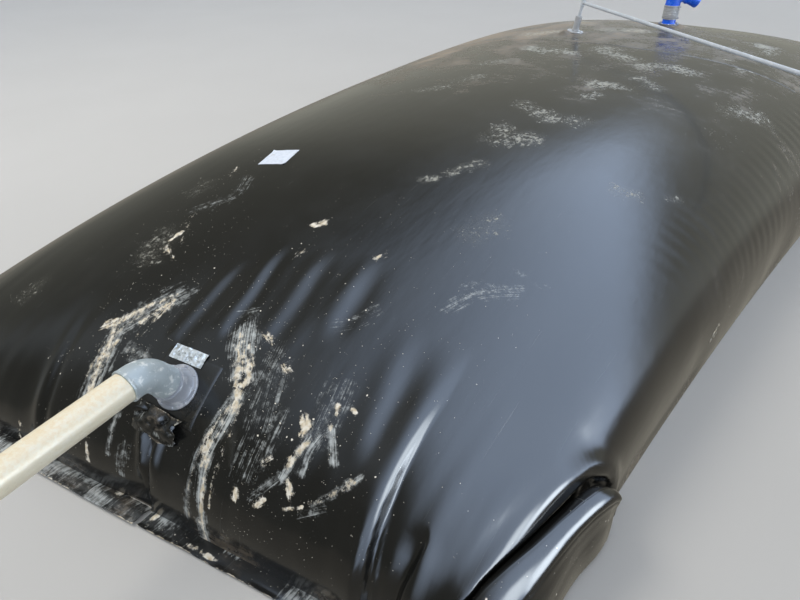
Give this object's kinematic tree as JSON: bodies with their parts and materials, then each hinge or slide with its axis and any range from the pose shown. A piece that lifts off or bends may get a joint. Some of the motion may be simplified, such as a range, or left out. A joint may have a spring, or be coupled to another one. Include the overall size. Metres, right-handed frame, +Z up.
{
  "type": "tubular membrane biogas digester",
  "caption": "Inflated tubular membrane biogas digester with welded hems, an inlet elbow and pipe on its near end, and a gas riser with its pipe and a clamped outlet on its crown.",
  "frame": {"origin": "centre of the bag's base, on the ground", "axes": "+X along the bag from the inlet end to the far end, +Y to its left side, +Z up"},
  "size_m": [7.7547, 4.5092, 1.3553],
  "materials": {
    "black_sheet": "glossy black membrane with dried mud and dust",
    "far_sheet": "glossy black membrane under a brown film of dust",
    "hem_sheet": "welded black hem, pale with dried mud",
    "cream_pipe": "satin cream pipe, sun bleached",
    "grey_fitting": "satin blue grey pipe fitting with dry smears",
    "gas_pipe": "satin grey gas pipe",
    "blue_pipe": "glossy bright blue pipe",
    "rubber": "matt ribbed rubber",
    "clamp_steel": "bright clamp band",
    "silver_tape": "crinkled silver tape",
    "label_white": "blank white label"
  },
  "bodies": {
    "root": {"floor_sheet": "black_sheet", "near_end_left": "black_sheet", "near_end_middle": "black_sheet", "near_end_right": "black_sheet", "near_body_left_side": "black_sheet", "near_body_crown": "black_sheet", "near_body_right_side": "black_sheet", "corner_fold": "black_sheet", "inlet_patch": "black_sheet", "inlet_flap": "black_sheet", "far_body_left_side": "far_sheet", "far_body_crown": "far_sheet", "far_body_right_side": "far_sheet", "far_end_left": "far_sheet", "far_end_middle": "far_sheet", "far_end_right": "far_sheet", "cross_seam": "far_sheet", "outlet_patch": "far_sheet", "near_hem_left": "hem_sheet", "near_hem_right": "hem_sheet", "far_hem": "hem_sheet", "inlet_pipe": "cream_pipe", "inlet_flange": "grey_fitting", "inlet_neck": "grey_fitting", "inlet_elbow": "grey_fitting", "gas_sleeve": "gas_pipe", "gas_riser": "gas_pipe", "gas_tee": "gas_pipe", "gas_riser_top": "gas_pipe", "gas_cap": "gas_pipe", "gas_pipe": "gas_pipe", "gas_pipe_end_cap": "gas_pipe", "outlet_flange": "blue_pipe", "outlet_stub": "blue_pipe", "outlet_elbow": "blue_pipe", "outlet_pipe_end": "blue_pipe", "gas_flange": "rubber", "outlet_coupling": "rubber", "outlet_clamp_lower": "clamp_steel", "outlet_clamp_upper": "clamp_steel", "inlet_tape": "silver_tape", "blank_label": "label_white"}
  },
  "joints": []
}
